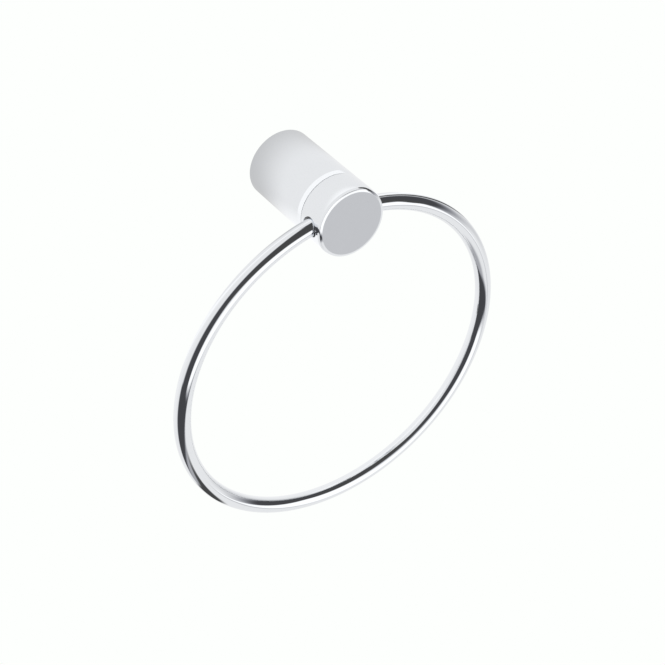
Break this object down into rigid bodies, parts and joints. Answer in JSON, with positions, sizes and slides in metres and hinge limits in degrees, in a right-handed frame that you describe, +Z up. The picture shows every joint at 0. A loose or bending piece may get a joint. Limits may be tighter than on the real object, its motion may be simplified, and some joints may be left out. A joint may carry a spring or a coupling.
{
  "type": "towel ring",
  "caption": "Wall-mounted chrome towel ring: a bent rod ring swings in cross holes through the front of a round post, which a hidden bracket holds on the wall.",
  "frame": {"origin": "on the post's axis, in the plane of the wall", "axes": "+X along the wall to the right as seen from the room, +Y into the wall, +Z up"},
  "size_m": [0.18, 0.058, 0.1917],
  "materials": {
    "polished_chrome": "bright chrome plate, mirror polished",
    "screw_steel": "plain stainless steel, satin",
    "bracket_metal": "unpolished bright metal, as turned"
  },
  "bodies": {
    "post": {"rear_sleeve": "polished_chrome", "ring_holder": "polished_chrome", "joining_screw": "screw_steel", "wall_bracket": "bracket_metal", "grub_screw": "screw_steel"},
    "ring": {"towel_ring": "polished_chrome"}
  },
  "joints": [
    {"name": "ring_swing", "type": "hinge", "parent": "post", "child": "ring", "pos_m": [0, -0.05, 0], "axis": [-1, 0, 0], "range_deg": [-15.5, 164.5]}
  ]
}
